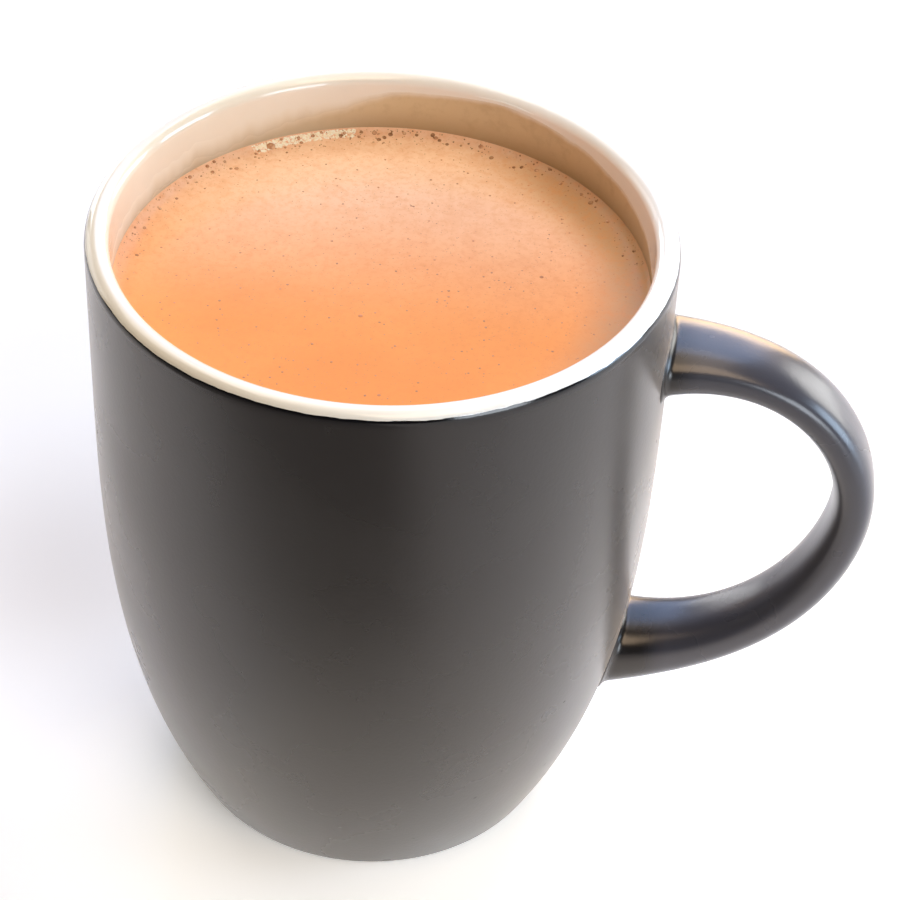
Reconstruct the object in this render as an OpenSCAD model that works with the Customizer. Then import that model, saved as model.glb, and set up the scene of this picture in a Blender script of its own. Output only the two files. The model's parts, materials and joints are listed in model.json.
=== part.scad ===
// Masala chai in the barrel-shaped stoneware mug that holds it.
// Body and handle of the mug are one fired piece, and the chai fills it nearly to the rim.
// Millimetres, +Z up. The origin is on the mug's axis at the foot, and the handle points along +X.

/* [Mug body] */
// Height of the mug, foot to rim
mug_h = 100; // [80:1:130]
// Outer diameter at the rim
rim_d = 82; // [66:1:104]
// Diameter at which the wall would meet the ground
foot_d = 57; // [44:1:62]
// Length of the upright stretch of wall below the rim
upright_h = 20; // [10:1:30]
// How roundly the wall turns in below that stretch
belly_curve = 3.15; // [2.2:0.05:4]
// Thickness of the wall
wall = 3.4; // [2.4:0.1:5]
// Height of the inside floor above the ground
floor_h = 7; // [5:0.5:12]
// Radius where the inside floor turns up into the wall
well_round = 12; // [4:0.5:16]

/* [Foot] */
// Radius of the outer edge of the foot
foot_round = 2; // [0.8:0.1:4]
// Width of the ring that the mug stands on
ring_w = 4; // [2:0.5:8]
// Depth of the recess inside that ring
recess_h = 1.6; // [0.6:0.1:3]

/* [Handle] */
// Drop from the rim to the middle of the upper root
handle_drop = 17.6; // [13:0.2:26]
// Height from the lower root to the upper root
handle_span = 56; // [44:0.5:64]
// Distance from the rim's outer face to the middle of the handle, where it is furthest out
handle_reach = 28.8; // [22:0.1:38]
// Drop from the upper root to the furthest point
handle_peak_drop = 23; // [16:0.5:34]
// Slope at which the handle rises out of the upper root, in degrees
handle_rise = 9; // [0:1:20]
// Slope at which the handle sags out of the lower root, in degrees
handle_sag = -4; // [-12:1:12]
// Length over which the handle runs straight out of the upper root
pull_top = 20; // [10:0.5:26]
// Length over which the furthest point bends up and in
pull_upper = 12; // [4:0.5:18]
// Length over which the furthest point bends down and in
pull_lower = 10.5; // [4:0.5:24]
// Length over which the lower root runs straight out
pull_low = 26; // [10:0.5:30]
// Width of the handle across the finger gap, at the upper root
grip_w_top = 11.8; // [8:0.1:16]
// Width of the handle across the finger gap, at the lower root
grip_w_low = 10.2; // [7:0.1:16]
// Thickness of the handle just outside the upper root
grip_t_top = 5; // [3.5:0.1:8]
// Thickness of the handle just outside the lower root
grip_t_low = 7.2; // [3.5:0.1:9]
// How much thicker and wider the handle grows where it meets the wall at its upper root
flare_top = 3.2; // [0:0.1:5]
// How much thicker and wider the handle grows where it meets the wall at its lower root
flare_low = 4.4; // [0:0.1:5]

/* [Chai] */
// Free height between the chai and the rim
headroom = 10; // [5:0.5:30]

/* [Hidden] */

// Fineness of everything turned about the axis
turn_fn = 96;
// Number of straight stretches along the wall, around a corner and around the lip
wall_steps = 22;
corner_steps = 8;
lip_steps = 10;

rim_r = rim_d / 2;
foot_r = foot_d / 2;
lip_r = wall / 2;
upright_z = mug_h - upright_h;
chai_z = mug_h - headroom;

// Outer radius of the wall at a height: upright at the top, turning in below it
function wall_r(z) = rim_r - (rim_r - foot_r) * pow(max(0, 1 - z / upright_z), belly_curve);

// Angle between the wall and the upright at a height
function wall_lean(z) =
    atan((rim_r - foot_r) * belly_curve / upright_z
        * pow(max(0, 1 - z / upright_z), belly_curve - 1));

// Arc that turns from the level at z0 up into the wall, and the height where it ends
function corner_angle(z0, round) = 90 - wall_lean(z0 + round);
function corner_top(z0, round) = z0 + round * (1 - cos(corner_angle(z0, round)));
function corner(z0, round, inset) =
    let (
        turn = corner_angle(z0, round),
        middle_r = wall_r(corner_top(z0, round)) - inset - round * sin(turn)
    )
    [for (i = [0 : corner_steps])
        let (a = turn * i / corner_steps)
        [middle_r + round * sin(a), z0 + round * (1 - cos(a))]];

// Points up the wall from a corner's end to the upright stretch
function rise(z_from, inset) =
    [for (i = [1 : wall_steps])
        let (z = z_from + (upright_z - z_from) * i / wall_steps)
        [wall_r(z) - inset, z]];

// The outside and the inside of the mug, each from its level part up to the upright stretch
outside = concat(corner(0, foot_round, 0), rise(corner_top(0, foot_round), 0));
inside = concat(corner(floor_h, well_round, wall), rise(corner_top(floor_h, well_round), wall));

// Rounded lip, from the outer face over the top to the inner face
lip = [for (i = [0 : lip_steps])
    let (a = 180 * i / lip_steps)
    [rim_r - lip_r + lip_r * cos(a), mug_h - lip_r + lip_r * sin(a)]];

function reversed(points) = [for (i = [len(points) - 1 : -1 : 0]) points[i]];

// Ring under the foot: its outer edge, and its sloped inner side up to the recess
ring_r = outside[0][0] - ring_w;
recess = [[0, recess_h], [ring_r - recess_h, recess_h], [ring_r, 0]];

// Inner radius of the wall at any height, read along the mug's own straight stretches
inside_by_height = [for (p = inside) [p[1], p[0]]];
function inside_r(z) = lookup(z, inside_by_height);

module body() {
    rotate_extrude($fn = turn_fn)
        polygon(concat(recess, outside, lip, reversed(inside), [[0, floor_h]]));
}

// Handle: a centreline of two cubic curves in the XZ plane, and a rounded section along it
handle_steps = 24;
section_points = 32;
section_squareness = 2.6;
// How far the ends of the handle lie below the wall's outer face
root_depth = wall / 2;

upper_z = mug_h - handle_drop;
lower_z = upper_z - handle_span;
upper_root = [wall_r(upper_z) - root_depth, upper_z];
lower_root = [wall_r(lower_z) - root_depth, lower_z];
peak = [rim_r + handle_reach, upper_z - handle_peak_drop];
upper_bend = upper_root + pull_top * [cos(handle_rise), sin(handle_rise)];
lower_bend = lower_root + pull_low * [cos(handle_sag), -sin(handle_sag)];

function cubic(a, b, c, d, t) =
    pow(1 - t, 3) * a + 3 * t * pow(1 - t, 2) * b + 3 * t * t * (1 - t) * c + pow(t, 3) * d;

handle_line = concat(
    [for (i = [0 : handle_steps - 1])
        cubic(upper_root, upper_bend, peak + [0, pull_upper], peak, i / handle_steps)],
    [for (i = [0 : handle_steps])
        cubic(peak, peak - [0, pull_lower], lower_bend, lower_root, i / handle_steps)]);

// The flare is spent a short way out of each root; s runs from 0 at the upper one to 1
flare_fade = 6;
function flare(s) = (s < 0.5 ? flare_top : flare_low) * pow(abs(2 * s - 1), flare_fade);
function grip_w(s) = grip_w_top + (grip_w_low - grip_w_top) * s + flare(s);
function grip_t(s) = grip_t_top + (grip_t_low - grip_t_top) * s + flare(s);

function rounded(x) = sign(x) * pow(abs(x), 2 / section_squareness);

// One ring of points around the centreline, square to the way it runs. The first and the last
// ring lie on the middle of the wall instead, so that no size takes the handle into the hollow.
function ring(i) =
    let (
        last = len(handle_line) - 1,
        s = i / last,
        before = handle_line[max(0, i - 1)],
        after = handle_line[min(last, i + 1)],
        way = (after - before) / norm(after - before),
        outward = [-way[1], way[0]],
        at_root = i == 0 || i == last
    )
    [for (k = [0 : section_points - 1])
        let (
            a = 360 * k / section_points,
            across = grip_w(s) / 2 * rounded(cos(a)),
            out = grip_t(s) / 2 * rounded(sin(a)),
            p = handle_line[i] + outward * out,
            middle_r = wall_r(p[1]) - root_depth
        )
        [at_root ? sqrt(pow(middle_r, 2) - pow(across, 2)) : p[0], across, p[1]]];

module handle() {
    rings = len(handle_line);
    n = section_points;
    sides = [for (i = [0 : rings - 2], k = [0 : n - 1])
        [i * n + k, (i + 1) * n + k, (i + 1) * n + (k + 1) % n, i * n + (k + 1) % n]];
    caps = [[for (k = [0 : n - 1]) k], [for (k = [n - 1 : -1 : 0]) (rings - 1) * n + k]];
    polyhedron([for (i = [0 : rings - 1]) each ring(i)], concat(sides, caps));
}

module mug() {
    color([0.16, 0.15, 0.15])
    union() {
        body();
        handle();
    }
}

// The chai fills the inside up to its level, with the mug's own inner outline
module chai() {
    below = [for (p = inside) if (p[1] < chai_z) p];
    color([0.93, 0.67, 0.44])
    rotate_extrude($fn = turn_fn)
        polygon(concat([[0, floor_h]], below, [[inside_r(chai_z), chai_z], [0, chai_z]]));
}

mug();
chai();
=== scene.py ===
# Masala chai in a black stoneware mug with a cream inside.
# Metres, +Z up, origin on the mug's axis at its foot ring, handle along +X.
import json
import math

import bpy
import bmesh
from mathutils import Matrix, Vector, noise

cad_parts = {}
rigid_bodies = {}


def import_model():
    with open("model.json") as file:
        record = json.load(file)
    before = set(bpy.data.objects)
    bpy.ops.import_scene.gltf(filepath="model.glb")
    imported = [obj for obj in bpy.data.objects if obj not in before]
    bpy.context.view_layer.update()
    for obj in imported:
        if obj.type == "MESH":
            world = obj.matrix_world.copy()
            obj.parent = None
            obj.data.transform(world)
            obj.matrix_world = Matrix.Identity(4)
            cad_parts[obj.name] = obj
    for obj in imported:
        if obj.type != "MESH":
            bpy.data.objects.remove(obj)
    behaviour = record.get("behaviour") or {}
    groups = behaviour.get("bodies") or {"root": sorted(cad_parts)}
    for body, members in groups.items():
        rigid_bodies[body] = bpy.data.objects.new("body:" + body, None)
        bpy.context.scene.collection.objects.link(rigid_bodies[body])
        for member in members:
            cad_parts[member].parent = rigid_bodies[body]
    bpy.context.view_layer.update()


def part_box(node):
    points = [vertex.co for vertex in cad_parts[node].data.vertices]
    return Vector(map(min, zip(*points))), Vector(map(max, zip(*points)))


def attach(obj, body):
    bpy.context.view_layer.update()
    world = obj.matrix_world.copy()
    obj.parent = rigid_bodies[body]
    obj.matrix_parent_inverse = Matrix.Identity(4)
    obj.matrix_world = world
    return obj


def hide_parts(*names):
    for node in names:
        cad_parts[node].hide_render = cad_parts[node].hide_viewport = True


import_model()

MM = 0.001
DEGREE = math.pi / 180

# ---------------------------------------------------------------- sizes
_, mug_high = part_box("mug")
chai_low, chai_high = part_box("chai")

# The mug's body, in the words of its CAD source
MUG_H = mug_high[2]
RIM_R = mug_high[1]
FOOT_R = 28.5 * MM
UPRIGHT_H = 20 * MM
BELLY_CURVE = 3.15
WALL = 3.4 * MM
FLOOR_H = chai_low[2]
WELL_ROUND = 12 * MM
FOOT_ROUND = 2 * MM
RING_W = 4 * MM
RECESS_H = 1.6 * MM
LEVEL = chai_high[2]
UPRIGHT_Z = MUG_H - UPRIGHT_H
INNER_R = RIM_R - WALL
LIP_R = WALL / 2

# The handle, in the words of its CAD source
HANDLE_DROP = 17.6 * MM
HANDLE_SPAN = 56 * MM
HANDLE_REACH = 28.8 * MM
HANDLE_PEAK_DROP = 23 * MM
HANDLE_RISE = math.radians(9)
HANDLE_SAG = math.radians(-4)
PULL_TOP = 20 * MM
PULL_UPPER = 12 * MM
PULL_LOWER = 10.5 * MM
PULL_LOW = 26 * MM
GRIP_W_TOP = 11.8 * MM
GRIP_W_LOW = 10.2 * MM
GRIP_T_TOP = 5 * MM
GRIP_T_LOW = 7.2 * MM
FLARE_TOP = 3.2 * MM
FLARE_LOW = 4.4 * MM
FLARE_FADE = 6
SQUARENESS = 2.6
ROOT_DEPTH = WALL / 2
# Radius of the slip that fills the corner where the handle was stuck to the wall
JOIN_R = 1.1 * MM

# Fineness of what is turned about the axis, of a corner's arc and of one side of the wall
SEGMENTS = 384
CORNER_STEPS = 14
WALL_STEPS = 64


# ---------------------------------------------------------------- mug outline
def wall_r(z):
    """Outer radius of the wall at a height."""
    return RIM_R - (RIM_R - FOOT_R) * max(0.0, 1 - z / UPRIGHT_Z) ** BELLY_CURVE


def wall_lean(z):
    """Angle between the wall and the upright at a height."""
    share = max(0.0, 1 - z / UPRIGHT_Z) ** (BELLY_CURVE - 1)
    return math.atan((RIM_R - FOOT_R) * BELLY_CURVE / UPRIGHT_Z * share)


def corner(z0, radius, inset, steps):
    """Arc from the level at z0 up into the wall, and the height where it ends."""
    turn = math.pi / 2 - wall_lean(z0 + radius)
    top = z0 + radius * (1 - math.cos(turn))
    middle_r = wall_r(top) - inset - radius * math.sin(turn)
    arc = []
    for i in range(steps + 1):
        a = turn * i / steps
        arc.append((middle_r + radius * math.sin(a), z0 + radius * (1 - math.cos(a))))
    return arc, top


def wall_side(z0, radius, inset, steps=WALL_STEPS):
    """One side of the wall, from its corner at the bottom to the upright stretch's top."""
    points, top = corner(z0, radius, inset, CORNER_STEPS)
    lip_z = MUG_H - LIP_R
    for i in range(1, steps + 1):
        z = top + (lip_z - top) * i / steps
        points.append((wall_r(z) - inset, z))
    return points


# Where the cream glaze stops on the lip's outer face, in degrees up the lip, and the waves of that
# line: how close together they lie, how high they are in degrees, and where the noise is read
GLAZE_LINE = 37
GLAZE_WAVES = ((2.3, 7.0, (3.1, 0, 0)), (14, 4.0, (0, 7.7, 0)), (60, 2.2, (0, 0, 5.3)))


def glaze_line(theta):
    """Angle up the lip's outer face at which the cream glaze stops, uneven as dipped ware is."""
    p = Vector((math.cos(theta), math.sin(theta), 0.0))
    degrees = GLAZE_LINE
    for closeness, height, start in GLAZE_WAVES:
        degrees += height * noise.noise(p * closeness + Vector(start))
    return math.radians(degrees)


# ---------------------------------------------------------------- mesh helpers
def new_piece(name, bm, smooth=True):
    """Turns a bmesh into an object at the origin."""
    mesh = bpy.data.meshes.new(name)
    bm.to_mesh(mesh)
    bm.free()
    for face in mesh.polygons:
        face.use_smooth = smooth
    piece = bpy.data.objects.new(name, mesh)
    bpy.context.scene.collection.objects.link(piece)
    return piece


def bridge(bm, lower, upper, slot=0):
    """Quads between two closed rings of vertices, outward where the rings run anticlockwise."""
    n = len(lower)
    for k in range(n):
        face = bm.faces.new((lower[k], lower[(k + 1) % n], upper[(k + 1) % n], upper[k]))
        face.material_index = slot


def fan(bm, ring, apex, slot=0):
    """Closes a ring with triangles to one vertex."""
    n = len(ring)
    for k in range(n):
        face = bm.faces.new((ring[k], ring[(k + 1) % n], apex))
        face.material_index = slot


def turned_ring(bm, r, z):
    """A ring of vertices about the axis. r and z may depend on the angle."""
    ring = []
    for k in range(SEGMENTS):
        t = 2 * math.pi * k / SEGMENTS
        rr = r(t) if callable(r) else r
        zz = z(t) if callable(z) else z
        ring.append(bm.verts.new((rr * math.cos(t), rr * math.sin(t), zz)))
    return ring


# ---------------------------------------------------------------- mug
BLACK, CREAM, CLAY = 0, 1, 2
# Rings of the lip in the black glaze and in the cream glaze
BLACK_LIP_STEPS = 6
CREAM_LIP_STEPS = 24
# Rounded way from the recess down to the foot ring: distance in from the ring, and height, both as
# shares of the recess's depth
RECESS_STEPS = ((2.4, 1.0), (0.5, 0.8), (0.0, 0.2))
# Width of the bare sloped edge on the inside of the ring that the mug stands on
RING_EDGE = 0.4 * MM


def lip_point(a):
    """Point of the lip at an angle from its outer face (0) over the top to its inner face (pi)."""
    return RIM_R - LIP_R + LIP_R * math.cos(a), MUG_H - LIP_R + LIP_R * math.sin(a)


def lip_row(bm, turn_at):
    """A ring of the lip; turn_at gives its place on the lip's arc at each angle about the axis."""
    return turned_ring(bm, lambda t: lip_point(turn_at(t))[0], lambda t: lip_point(turn_at(t))[1])


def body_mesh(bm):
    """The turned body: foot ring, black outside, lip, cream inside."""
    outside = wall_side(0, FOOT_ROUND, 0)
    inside = wall_side(FLOOR_H, WELL_ROUND, WALL)
    ring_r = outside[0][0] - RING_W
    rows = []
    for inward, height in RECESS_STEPS:
        rows.append((turned_ring(bm, ring_r - inward * RECESS_H, height * RECESS_H), BLACK))
    rows.append((turned_ring(bm, ring_r + RING_EDGE, 0), CLAY))
    for r, z in outside[:-1]:
        rows.append((turned_ring(bm, r, z), BLACK))
    for i in range(BLACK_LIP_STEPS):
        share = i / BLACK_LIP_STEPS
        rows.append((lip_row(bm, lambda t, s=share: glaze_line(t) * s), BLACK))
    for i in range(CREAM_LIP_STEPS + 1):
        share = i / CREAM_LIP_STEPS
        rows.append((lip_row(bm, lambda t, s=share: glaze_line(t) * (1 - s) + math.pi * s), CREAM))
    for r, z in reversed(inside[:-1]):
        rows.append((turned_ring(bm, r, z), CREAM))
    fan(bm, list(reversed(rows[0][0])), bm.verts.new((0, 0, RECESS_H)), BLACK)
    for (low, _), (high, slot) in zip(rows, rows[1:]):
        bridge(bm, low, high, slot)
    fan(bm, rows[-1][0], bm.verts.new((0, 0, FLOOR_H)), CREAM)


def cubic(a, b, c, d, t):
    """Point of a cubic curve from a to d, drawn towards b and c."""
    u = 1 - t
    return a * u ** 3 + b * (3 * t * u * u) + c * (3 * t * t * u) + d * t ** 3


UPPER_Z = MUG_H - HANDLE_DROP
LOWER_Z = UPPER_Z - HANDLE_SPAN
UPPER_ROOT = Vector((wall_r(UPPER_Z) - ROOT_DEPTH, UPPER_Z))
LOWER_ROOT = Vector((wall_r(LOWER_Z) - ROOT_DEPTH, LOWER_Z))
PEAK = Vector((RIM_R + HANDLE_REACH, UPPER_Z - HANDLE_PEAK_DROP))
UPPER_BEND = UPPER_ROOT + PULL_TOP * Vector((math.cos(HANDLE_RISE), math.sin(HANDLE_RISE)))
LOWER_BEND = LOWER_ROOT + PULL_LOW * Vector((math.cos(HANDLE_SAG), -math.sin(HANDLE_SAG)))


def handle_line(s):
    """Middle of the handle in its own plane, from the upper root (0) to the lower (1)."""
    if s < 0.5:
        return cubic(UPPER_ROOT, UPPER_BEND, PEAK + Vector((0, PULL_UPPER)), PEAK, 2 * s)
    return cubic(PEAK, PEAK - Vector((0, PULL_LOWER)), LOWER_BEND, LOWER_ROOT, 2 * s - 1)


def flare(s):
    """How much thicker and wider the handle is at a place because it grows towards its roots."""
    return (FLARE_TOP if s < 0.5 else FLARE_LOW) * abs(2 * s - 1) ** FLARE_FADE


def rounded(x):
    """Pulls a sine or cosine towards the corners of the handle's rounded-square section."""
    return math.copysign(abs(x) ** (2 / SQUARENESS), x)


def squareness_slope(x):
    """Slope of the section's outline along one of its own axes, for a place made by rounded()."""
    return math.copysign(abs(x) ** (SQUARENESS - 1), x)


def handle_skin(s, a, grow=0.0):
    """A point of the handle's skin; grow pushes it out square to the skin."""
    step = 0.002
    way = (handle_line(min(1, s + step)) - handle_line(max(0, s - step))).normalized()
    outward = Vector((-way.y, way.x))
    half_w = (GRIP_W_TOP + (GRIP_W_LOW - GRIP_W_TOP) * s + flare(s)) / 2
    half_t = (GRIP_T_TOP + (GRIP_T_LOW - GRIP_T_TOP) * s + flare(s)) / 2
    across = half_w * rounded(math.cos(a))
    out = half_t * rounded(math.sin(a))
    nx = squareness_slope(rounded(math.cos(a))) / half_w
    nz = squareness_slope(rounded(math.sin(a))) / half_t
    size = math.hypot(nx, nz)
    across += grow * nx / size
    out += grow * nz / size
    p = handle_line(s) + outward * out
    return Vector((p.x, across, p.y))


def off_wall(p):
    """Distance of a point outside the mug's wall."""
    return (math.hypot(p.x, p.y) - wall_r(p.z)) * math.cos(wall_lean(p.z))


# Share of the handle in which each root is looked for, and how often that share is halved
ROOT_SEARCH = 0.2
HALVINGS = 30


def root_of(a, inner, outer):
    """Place along the handle at which the skin's line at angle a leaves the wall."""
    for _ in range(HALVINGS):
        middle = (inner + outer) / 2
        if off_wall(handle_skin(middle, a)) > 0:
            outer = middle
        else:
            inner = middle
    return (inner + outer) / 2


# Fineness of the handle round its section, along it and near each root
HANDLE_LINES = 96
HANDLE_ROWS = 110
ROOT_ROWS = 12
ROOT_SHARE = 0.022
ROOT_CROWDING = 1.3
# How far the handle's ends reach into the wall: their edge, their rounded cap and the cap's middle
ROOT_SINK = 0.03 * MM
CAP_SINK = 1.2 * MM
CAP_MIDDLE_SINK = 1.6 * MM
CAP_SHRINK = 0.12


def handle_shares():
    """Places of the handle's rings between its two roots, close together near each."""
    near = [ROOT_SHARE * (i / ROOT_ROWS) ** ROOT_CROWDING for i in range(ROOT_ROWS)]
    middle = [ROOT_SHARE + (1 - 2 * ROOT_SHARE) * i / HANDLE_ROWS for i in range(HANDLE_ROWS + 1)]
    return near + middle + [1 - x for x in reversed(near)]


def filleted_skin(s, a, at_root):
    """A point of the handle's skin with the slip's fillet, or just inside the wall at a root."""
    clear = max(0.0, off_wall(handle_skin(s, a)))
    grow = 0.0
    if clear < JOIN_R:
        grow = JOIN_R - math.sqrt(JOIN_R ** 2 - (JOIN_R - clear) ** 2)
    p = handle_skin(s, a, grow)
    if at_root:
        p -= Vector((p.x, p.y, 0)).normalized() * (off_wall(p) + ROOT_SINK)
    return p


def handle_cap(bm, ring, at_lower_root):
    """Closes an end of the handle inside the wall."""
    middle = sum((v.co for v in ring), Vector()) / len(ring)
    inner = []
    for v in ring:
        into = -Vector((v.co.x, v.co.y, 0)).normalized() * CAP_SINK
        inner.append(bm.verts.new(v.co + (middle - v.co) * CAP_SHRINK + into))
    apex = bm.verts.new(middle - Vector((CAP_MIDDLE_SINK, 0, 0)))
    if at_lower_root:
        bridge(bm, inner, ring, BLACK)
        fan(bm, list(reversed(inner)), apex, BLACK)
    else:
        bridge(bm, ring, inner, BLACK)
        fan(bm, inner, apex, BLACK)


def handle_mesh(bm):
    """The handle, with a small round fillet of slip where it meets the wall."""
    angles = [2 * math.pi * k / HANDLE_LINES for k in range(HANDLE_LINES)]
    starts = [root_of(a, 0.0, ROOT_SEARCH) for a in angles]
    ends = [root_of(a, 1.0, 1.0 - ROOT_SEARCH) for a in angles]
    rings = []
    for share in handle_shares():
        ring = []
        for a, start, end in zip(angles, starts, ends):
            place = start + (end - start) * share
            ring.append(bm.verts.new(filleted_skin(place, a, share in (0, 1))))
        rings.append(ring)
    for one, two in zip(rings, rings[1:]):
        bridge(bm, two, one, BLACK)
    handle_cap(bm, rings[0], False)
    handle_cap(bm, rings[-1], True)


def make_mug():
    """The whole mug, body and handle, as one piece."""
    bm = bmesh.new()
    body_mesh(bm)
    handle_mesh(bm)
    return new_piece("mug_stoneware", bm)


# ---------------------------------------------------------------- chai
# How high the drink climbs the wall, and how far from the wall that fades
MENISCUS_H = 1.1 * MM
MENISCUS_W = 1.3 * MM
# How far the drink reaches into the wall, so that no air gap shows
INTO_WALL = 0.15 * MM
# Fineness of its side, of the ring in which it climbs and of its level part
CHAI_WALL_STEPS = 40
EDGE_W = 6 * MM
EDGE_ROWS = 26
EDGE_CROWDING = 1.6
FLAT_ROWS = 40


def chai_z(r):
    """Height of the drink's surface: level, and climbing the wall at its edge."""
    gap = max(0.0, INNER_R - r)
    return LEVEL + MENISCUS_H * math.exp(-gap / MENISCUS_W)


def make_chai():
    """The drink: its surface with the rounded climb at the edge, and its body in the mug."""
    bm = bmesh.new()
    rows = []
    for r, z in wall_side(FLOOR_H, WELL_ROUND, WALL, CHAI_WALL_STEPS):
        if z < LEVEL:
            rows.append(turned_ring(bm, r + INTO_WALL, z - INTO_WALL))
    outer_r = INNER_R + INTO_WALL
    radii = [outer_r - EDGE_W * (i / EDGE_ROWS) ** EDGE_CROWDING for i in range(EDGE_ROWS)]
    radii += [(outer_r - EDGE_W) * (1 - i / FLAT_ROWS) for i in range(FLAT_ROWS)]
    for r in radii:
        rows.append(turned_ring(bm, r, chai_z(r)))
    fan(bm, list(reversed(rows[0])), bm.verts.new((0, 0, FLOOR_H - INTO_WALL)))
    for low, high in zip(rows, rows[1:]):
        bridge(bm, low, high)
    fan(bm, rows[-1], bm.verts.new((0, 0, chai_z(0))))
    return new_piece("chai_drink", bm)


# ---------------------------------------------------------------- film of chai on the wall
# Height of the dried film over the drink, in mm, at angles in degrees from the handle
FILM_EDGE = (
    (-8, 0.0), (6, 3.0), (20, 5.0), (34, 6.0), (50, 7.3), (66, 8.2), (90, 7.4),
    (112, 5.8), (140, 4.8), (172, 3.6), (206, 0.0))
# Angle from which the film's edge is ragged, and the angle over which it becomes so
RAGGED_FROM = 92
RAGGED_OVER = 20
# The drips there: how close together they lie, where the noise is read, and their height in mm
FILM_DRIPS = ((9.0, 3.1, 1.0), (24.0, 8.4, 0.7))
# Fineness of the film round the wall and up it
FILM_ACROSS = 520
FILM_UP = 26
# Its thickness, how far it runs on below the drink's surface and above the edge line, the share of its
# height over which it thins to its edge, how far that dives into the wall, and how deep its back lies
FILM_THICK = 0.05 * MM
FILM_MARGIN = 0.6 * MM
FILM_TAPER = 1 / 6
FILM_DIVE = 0.02 * MM
FILM_BACK = 0.12 * MM


def film_edge(degrees):
    """Height of the film's upper edge over the drink: smooth by the handle, dripping away from it."""
    for (a, low), (b, high) in zip(FILM_EDGE, FILM_EDGE[1:]):
        if a <= degrees <= b:
            share = (1 - math.cos(math.pi * (degrees - a) / (b - a))) / 2
            height = low + (high - low) * share
            break
    else:
        return 0.0
    t = math.radians(degrees)
    ragged = min(1.0, max(0.0, (degrees - RAGGED_FROM) / RAGGED_OVER))
    drip = 0.0
    for closeness, start, tall in FILM_DRIPS:
        drip += tall * noise.noise(Vector((t * closeness, start, 0.0)))
    faint = noise.noise(Vector((t * 4.0, 0.7, 0.0)))
    return max(0.0, height * (1 + 0.03 * faint) + ragged * drip) * MM


def make_film():
    """Thin dried film of chai on the inner wall, a closed skin whose edges dive into the wall."""
    bm = bmesh.new()
    height = bm.verts.layers.float.new("film_height")
    depth = bm.verts.layers.float.new("film_depth")
    front = []
    back = []
    start, end = FILM_EDGE[0][0], FILM_EDGE[-1][0]
    for i in range(FILM_ACROSS + 1):
        degrees = start + (end - start) * i / FILM_ACROSS
        t = math.radians(degrees)
        top = LEVEL + film_edge(degrees) + FILM_MARGIN
        bottom = LEVEL - FILM_MARGIN
        front_line = []
        back_line = []
        for j in range(FILM_UP + 1):
            share = j / FILM_UP
            z = bottom + (top - bottom) * share
            thick = FILM_THICK * min(1.0, (1 - share) / FILM_TAPER)
            if i in (0, FILM_ACROSS):
                thick = 0.0
            r = INNER_R + FILM_DIVE - thick
            vert = bm.verts.new((r * math.cos(t), r * math.sin(t), z))
            vert[height] = (z - LEVEL) / MM
            vert[depth] = (top - z) / MM
            front_line.append(vert)
            r = INNER_R + FILM_BACK
            back_line.append(bm.verts.new((r * math.cos(t), r * math.sin(t), z)))
        front.append(front_line)
        back.append(back_line)
    for i in range(FILM_ACROSS):
        for j in range(FILM_UP):
            bm.faces.new((front[i][j], front[i][j + 1], front[i + 1][j + 1], front[i + 1][j]))
            bm.faces.new((back[i][j], back[i + 1][j], back[i + 1][j + 1], back[i][j + 1]))
        bm.faces.new((front[i][0], front[i + 1][0], back[i + 1][0], back[i][0]))
        bm.faces.new((front[i][-1], back[i][-1], back[i + 1][-1], front[i + 1][-1]))
    for i, flip in ((0, False), (FILM_ACROSS, True)):
        for j in range(FILM_UP):
            quad = (front[i][j], back[i][j], back[i][j + 1], front[i][j + 1])
            bm.faces.new(tuple(reversed(quad)) if flip else quad)
    bmesh.ops.recalc_face_normals(bm, faces=bm.faces)
    return new_piece("chai_film", bm)


# ---------------------------------------------------------------- bubbles and spice
# Angle from the handle in degrees, gap to the wall in mm, and radius in mm
LARGE_BUBBLES = (
    (124.6, 0.9, 0.72), (117.5, 0.55, 0.32), (114.0, 0.6, 0.36), (106.5, 0.7, 0.34),
    (99.5, 0.8, 0.40), (92.5, 0.7, 0.30), (85.0, 0.9, 0.34), (74.0, 0.8, 0.40), (58.5, 1.4, 0.34),
    (51.0, 1.5, 0.30), (33.0, 1.5, 0.30), (137.0, 0.9, 0.26), (160.5, 1.6, 0.24))
# Place on the surface and radius, in mm
LARGE_FLECKS = (
    (-2.0, -7.8, 0.34), (21.9, 5.2, 0.30), (2.8, -24.4, 0.26), (-7.6, -15.0, 0.20),
    (9.5, -1.5, 0.20))
# Height of each as a share of its width, and how much of that height is sunk below the surface
BUBBLE_TALL = 0.7
BUBBLE_SINK = 0.25
FLECK_TALL = 0.35
FLECK_SINK = 0.3
# Scattered balls are turned by up to nearly a full turn, in radians
LARGEST_SPIN = 6.28


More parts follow.
